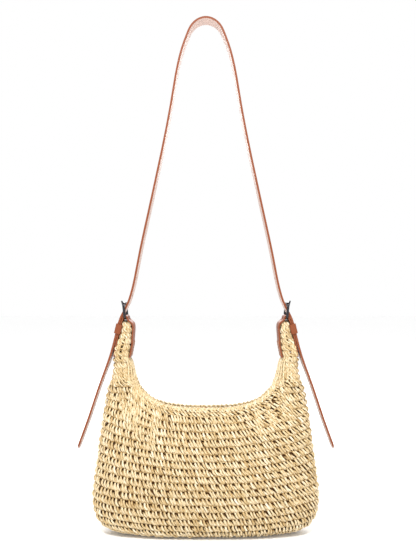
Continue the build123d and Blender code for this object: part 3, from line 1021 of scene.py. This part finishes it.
def make_gathers():
    """The ears: three pieces a side, bending between the bag and the tab."""
    for name, side in (("left", -1), ("right", 1)):
        rng = np.random.default_rng(SEED + 10 + side)
        gather = Gather(side)
        counts = []
        for row in range(GATHER_ROWS):
            round_here = gather.round(GATHER[0, 0] + (row + 0.5) * GATHER_ROW)
            counts.append(int(round(round_here / GATHER_PITCH)))
        stitch = np.concatenate([np.arange(n) + ROUND_SHIFT * row for row, n in enumerate(counts)])
        row = np.repeat(np.arange(GATHER_ROWS, dtype=float), counts)
        frame_at = gather.frame(np.repeat(np.array(counts, float), counts), GATHER_ROW)
        paths, *rest = work_stitches(
            frame_at, stitch, row, rng, scale=GATHER_SCALE, slant=GATHER_LEAN)
        paths = gather.hold(paths, STITCH_HALF_THICK)
        yarns = [yarn_object(name + "_gathered_end", paths, *rest, RAFFIA)]
        for kind, places, low, high, out, radius, tone, held in COLUMNS:
            paths, normals = gather.columns(places, low, high, out)
            radii = np.full(paths.shape[:2], radius)
            tones = rng.normal(tone, 0.5, len(paths))
            if held:
                paths = gather.hold(paths, radius)
            yarns.append(yarn_object(name + kind, paths, normals, radii, tones, RAFFIA))
        for yarn in yarns:
            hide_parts(name + "_ear_core")
            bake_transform(yarn)


def make_edging():
    """Fine rounds along each side of the mouth, and strands wrapped over its edge."""
    for name, face in (("front", -1), ("back", 1)):
        rng = np.random.default_rng(SEED + 20 + face)
        edge = Edge(face)
        stitch, row = np.meshgrid(
            np.arange(EDGE_STITCHES, dtype=float), np.arange(EDGE_ROWS, dtype=float))
        frame_at = edge.frame(EDGE_STITCHES, EDGE_ROW, EDGE_ROWS)
        work = work_stitches(frame_at, stitch.ravel(), row.ravel(), rng, template=EDGE_STITCH)
        piece = yarn_object(name + "_edging", *work, RAFFIA)
        lines = long_strands(edge, EDGE_LINES, EDGE_SAMPLES, rng, EDGE_LINE_RADIUS)
        cord = yarn_object(name + "_rim_cord", *lines, RAFFIA)
        start = np.arange(WRAPS)[:, None] + rng.normal(0, 0.06, (WRAPS, 1))
        local = np.repeat(np.array(WRAP)[None], WRAPS, 0)
        local[:, 1:-1] += rng.normal(0, 1, (WRAPS, len(WRAP) - 2, 3)) * WRAP_SPREAD
        path = curve_through(local, SAMPLES)
        share = (start + path[..., 0]) / WRAPS
        normal = edge.normal(share, np.minimum(path[..., 1], 0))
        point = edge.at(share, path[..., 1]) + normal * path[..., 2:]
        radii = WRAP_RADIUS * (1 + rng.normal(0, 0.08, (WRAPS, 1))) * np.ones((1, SAMPLES))
        tones = rng.normal(0.2, 0.8, WRAPS)
        wraps = yarn_object(name + "_rim_wraps", point, normal, radii, tones, RAFFIA)
        for yarn in (piece, cord, wraps):
            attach(yarn, "bag")
            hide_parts(name + "_rim_edging")


# ---- camera, floor and light ----------------------------------------------------------------------
# In metres, as all of this section.
FLOOR_BELOW = 0.0008
FLOOR_HALF_SIZE = 6.0
FLOOR_GLOW = 0.05
WHITE = (1, 1, 1, 1)
CAMERA_PLACE = (0.0029, -1.079, -0.3583)
# Each lamp's name, place, watts and size; all of them face one spot in the bag.
LAMPS = (
    ("key", (-0.15, -1.3, 0.9), 33, 0.4),
    ("fill", (1.2, -1.2, 0.1), 4, 1.2),
    ("back", (0.0, 1.6, 0.3), 18, 0.8),
)
LAMPS_FACE = Vector((0, 0, -0.55))


def add_object(name, data):
    """A new object in the scene."""
    obj = bpy.data.objects.new(name, data)
    bpy.context.scene.collection.objects.link(obj)
    return obj


def make_stage():
    """A bright floor just under the bag, a white world, three lamps and the photo's camera."""
    scene = bpy.context.scene
    z = CAD_BOX[0][2] - FLOOR_BELOW
    corners = [(-1, -1), (1, -1), (1, 1), (-1, 1)]
    mesh = bpy.data.meshes.new("floor")
    mesh.from_pydata(
        [(x * FLOOR_HALF_SIZE, y * FLOOR_HALF_SIZE, z) for x, y in corners], [], [(0, 1, 2, 3)])
    look = Look("floor")
    mesh.materials.append(look.done(
        Base_Color=(0.92, 0.92, 0.92, 1), Roughness=0.7,
        Emission_Color=WHITE, Emission_Strength=FLOOR_GLOW))
    add_object("floor", mesh)

    scene.world = bpy.data.worlds.new("studio")
    scene.world.use_nodes = True
    background = scene.world.node_tree.nodes["Background"]
    background.inputs["Color"].default_value = WHITE
    background.inputs["Strength"].default_value = 1.0

    for name, place, watts, size in LAMPS:
        light = bpy.data.lights.new(name, "AREA")
        light.energy = watts
        light.size = size
        lamp = add_object(name, light)
        lamp.location = place
        lamp.rotation_euler = (LAMPS_FACE - Vector(place)).to_track_quat("-Z", "Y").to_euler()

    camera = bpy.data.cameras.new("camera")
    camera.lens = 50
    camera.sensor_width = 36
    camera.clip_end = 50
    eye = add_object("camera", camera)
    eye.location = CAMERA_PLACE
    eye.rotation_euler = (math.pi / 2, 0, 0)
    scene.camera = eye
    scene.view_settings.view_transform = "Standard"


# ---- CAD pieces that keep their shape -------------------------------------------------------------
CAD_MATERIALS = (
    ("strap", STRAP_LEATHER),
    ("tab", LEATHER),
    ("keeper", LEATHER),
    ("snap_patch", LEATHER),
    ("tab_stitches", THREAD),
    ("buckle_frame", GUNMETAL),
    ("prong", GUNMETAL),
    ("snap_stud", SNAP_METAL),
    ("snap_socket", SNAP_METAL),
    ("slip_pocket", LINING_CLOTH),
)
# Radius of the rounding on their edges, in mm.
EDGE_ROUNDING = {"strap": 0.55, "tab": 0.45, "keeper": 0.4, "snap_patch": 0.35}


def round_edges(obj, radius):
    """A bevel on an object's sharp edges, in mm."""
    rounding = obj.modifiers.new("rounded edges", "BEVEL")
    rounding.width = radius * MM
    rounding.segments = 3
    rounding.limit_method = "ANGLE"
    rounding.angle_limit = math.radians(50)
    rounding.use_clamp_overlap = True


def dress_cad_nodes():
    """Materials and rounded edges for the CAD nodes whose shape is kept."""
    for name, material in CAD_MATERIALS:
        for obj in bpy.context.scene.objects:
            if obj.type == "MESH" and (obj.name == name or obj.name.endswith("_" + name)):
                for slot in obj.material_slots:
                    slot.material = material
                if name in EDGE_ROUNDING:
                    round_edges(obj, EDGE_ROUNDING[name])


make_stage()
make_body()
make_gathers()
make_edging()
make_lining()
make_hem()
make_pocket()
dress_cad_nodes()
